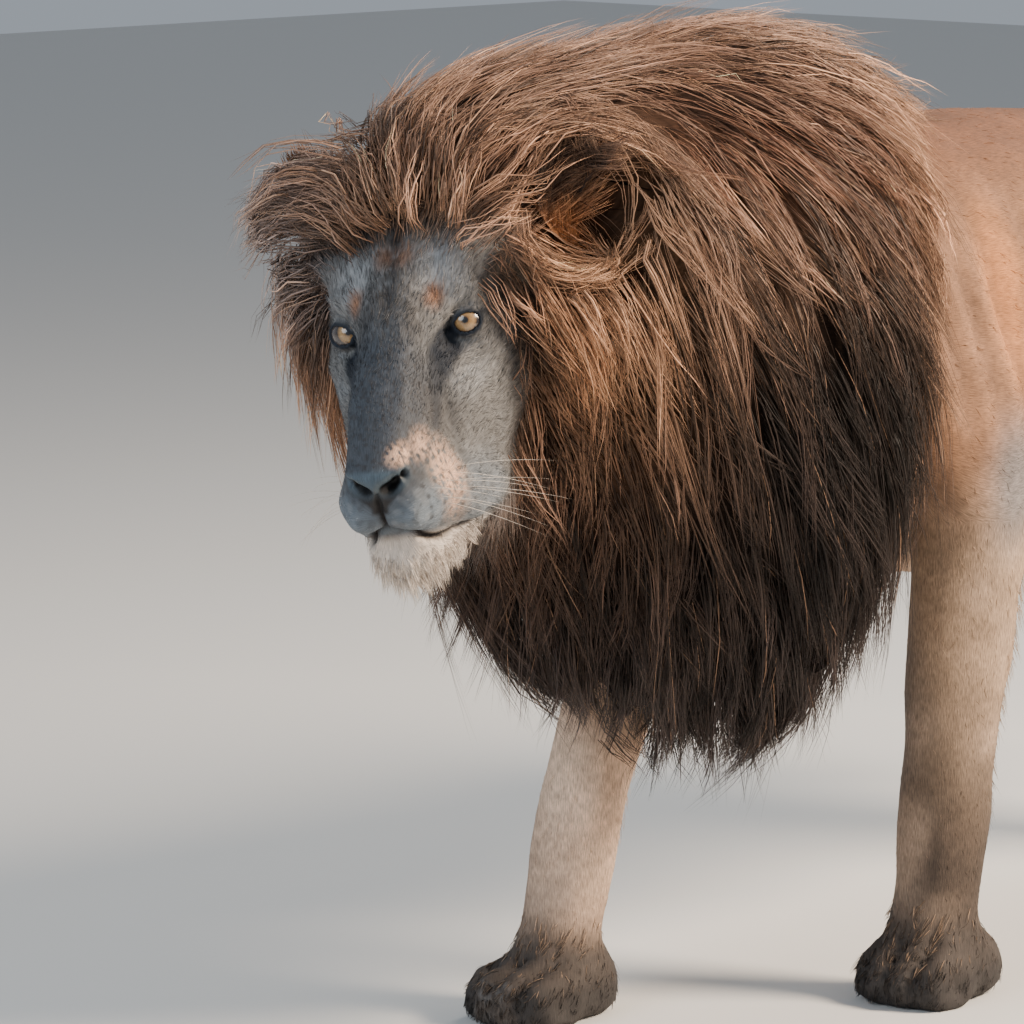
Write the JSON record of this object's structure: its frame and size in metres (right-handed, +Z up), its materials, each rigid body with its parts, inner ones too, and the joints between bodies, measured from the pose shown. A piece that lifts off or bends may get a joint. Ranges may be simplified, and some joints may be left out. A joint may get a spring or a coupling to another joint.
{
  "type": "adult male lion, still model",
  "caption": "Life-size still model of an adult male lion in mid-stride, head low and turned to its left, with a full dark mane.",
  "frame": {"origin": "on the floor, below the middle of the lion's bounding box", "axes": "+Z up; the lion walks towards -Y; its left side is +X"},
  "size_m": [0.5704, 2.402, 1.133],
  "materials": {
    "coat": "short tan fur, lying flat, matt",
    "face_coat": "very short greyish tan fur, matt",
    "mane_hair": "long coarse brown to black hair in locks, faint sheen",
    "paw_coat": "short fur with dark tufts at the toes, matt",
    "tuft_hair": "long black hair",
    "nose_leather": "dark pebbled skin, satin",
    "eye_glass": "amber iris under a clear cornea, glossy"
  },
  "bodies": {
    "root": {"barrel": "coat", "chest": "coat", "ear_left": "face_coat", "ear_right": "face_coat", "eye_left": "eye_glass", "eye_right": "eye_glass", "head": "face_coat", "hindquarters": "coat", "left_fore_forearm": "coat", "left_fore_paw": "paw_coat", "left_fore_upper_arm": "coat", "left_hind_foot": "paw_coat", "left_hind_shank": "coat", "left_hind_thigh": "coat", "lower_jaw": "face_coat", "mane": "mane_hair", "neck": "coat", "nose": "nose_leather", "right_fore_forearm": "coat", "right_fore_paw": "paw_coat", "right_fore_upper_arm": "coat", "right_hind_foot": "paw_coat", "right_hind_shank": "coat", "right_hind_thigh": "coat", "tail_root": "coat", "tail_switch": "coat", "tail_tuft": "tuft_hair"}
  },
  "joints": []
}
